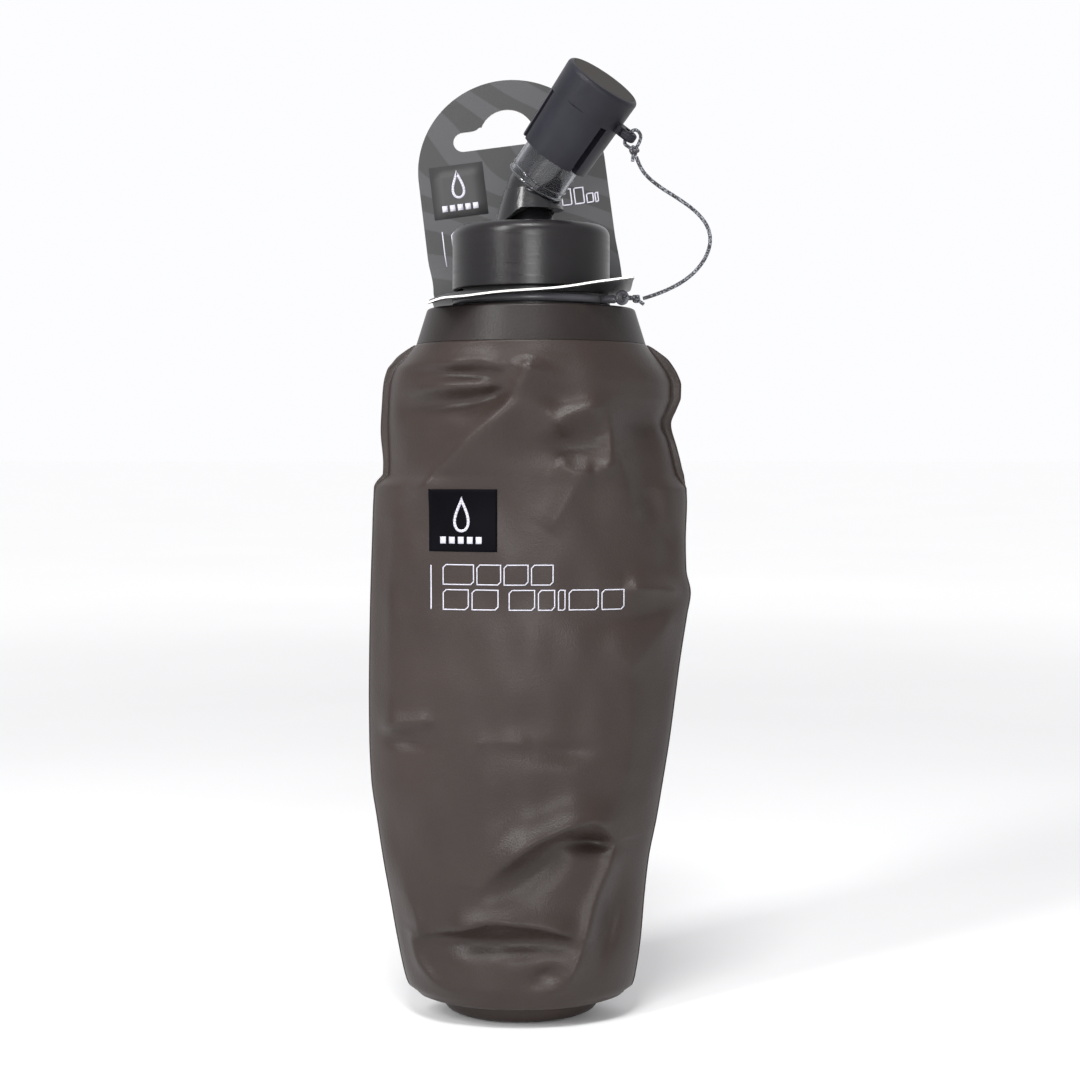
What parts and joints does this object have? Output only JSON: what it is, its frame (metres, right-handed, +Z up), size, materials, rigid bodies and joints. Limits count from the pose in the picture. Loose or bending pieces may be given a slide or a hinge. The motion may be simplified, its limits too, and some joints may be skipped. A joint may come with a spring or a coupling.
{
  "type": "folding water bottle",
  "caption": "Collapsible soft flask of welded film with a conical collar, screw cap, angled swivelling spout, tethered dust cap and a folded card hang tag.",
  "frame": {"origin": "on the underside of the foot, on the neck's axis", "axes": "+Z up along the bottle, -Y out of the printed front, +X to the right seen from the front"},
  "size_m": [0.0913, 0.0702, 0.259],
  "materials": {
    "film": "fine pebble grain, soft satin",
    "collar": "smooth satin",
    "neck": "moulded satin",
    "cap_black": "satin gloss, fine turned streaks",
    "spout_black": "satin gloss",
    "shell_black": "fine speckled satin",
    "badge": "matte",
    "clear_plastic": "clear, polished",
    "seal": "soft",
    "tether_rubber": "grey translucent",
    "cord": "black and white braid",
    "card": "printed, white core"
  },
  "bodies": {
    "bottle": {"neck_mouth": "neck", "shoulder_collar": "collar", "bag_front_upper": "film", "bag_back_upper": "film", "hang_tag_collar": "card"},
    "bag_lower": {"bag_front_lower": "film", "bag_back_lower": "film", "base_gusset": "film"},
    "cap_lift": {"cap_liner": "seal"},
    "cap": {"screw_cap": "cap_black", "spout_pedestal": "spout_black", "swivel_seal": "seal"},
    "spout": {"spout_elbow": "spout_black", "spout_post": "spout_black", "post_seal": "seal"},
    "nozzle": {"pull_nozzle": "spout_black", "nozzle_lip": "seal"},
    "dust_cap": {"dust_cap_cup": "clear_plastic", "dust_cap_shell": "shell_black", "dust_cap_badge": "badge", "tether_cord": "cord", "lug_knot": "cord"},
    "tether": {"tether_ring": "tether_rubber", "ring_knot": "cord"},
    "tag": {"hang_tag_panel": "card"}
  },
  "joints": [
    {"name": "bag_fold", "type": "hinge", "parent": "bottle", "child": "bag_lower", "pos_m": [0, -0.0215, 0.085], "axis": [-1, 0, 0], "range_deg": [0, 120]},
    {"name": "cap_rise", "type": "slide", "parent": "bottle", "child": "cap_lift", "axis": [0, 0, 1], "range_m": [0, 0.0241]},
    {"name": "cap_turn", "type": "hinge", "parent": "cap_lift", "child": "cap", "pos_m": [0, 0, 0.2], "axis": [0, 0, 1], "range_deg": [0, 720]},
    {"name": "spout_swivel", "type": "hinge", "parent": "cap", "child": "spout", "pos_m": [0, 0, 0.215], "axis": [0, 0, 1], "range_deg": [-148, 32]},
    {"name": "nozzle_pull", "type": "slide", "parent": "spout", "child": "nozzle", "axis": [0.5451, -0.3406, 0.766], "range_m": [0, 0.005]},
    {"name": "dust_cap_pull", "type": "slide", "parent": "spout", "child": "dust_cap", "axis": [0.5451, -0.3406, 0.766], "range_m": [0, 0.03], "deforming": ["tether_cord"]},
    {"name": "tether_turn", "type": "hinge", "parent": "bottle", "child": "tether", "pos_m": [0, 0, 0.192], "axis": [0, 0, 1], "continuous": true},
    {"name": "tag_fold", "type": "hinge", "parent": "bottle", "child": "tag", "pos_m": [0, 0.0275, 0.1946], "axis": [-1, 0, 0], "range_deg": [0, 80]}
  ],
  "couplings": [
    {"joint": "cap_rise", "follows": "cap_turn", "m_per_rad": 0.0019099}
  ]
}
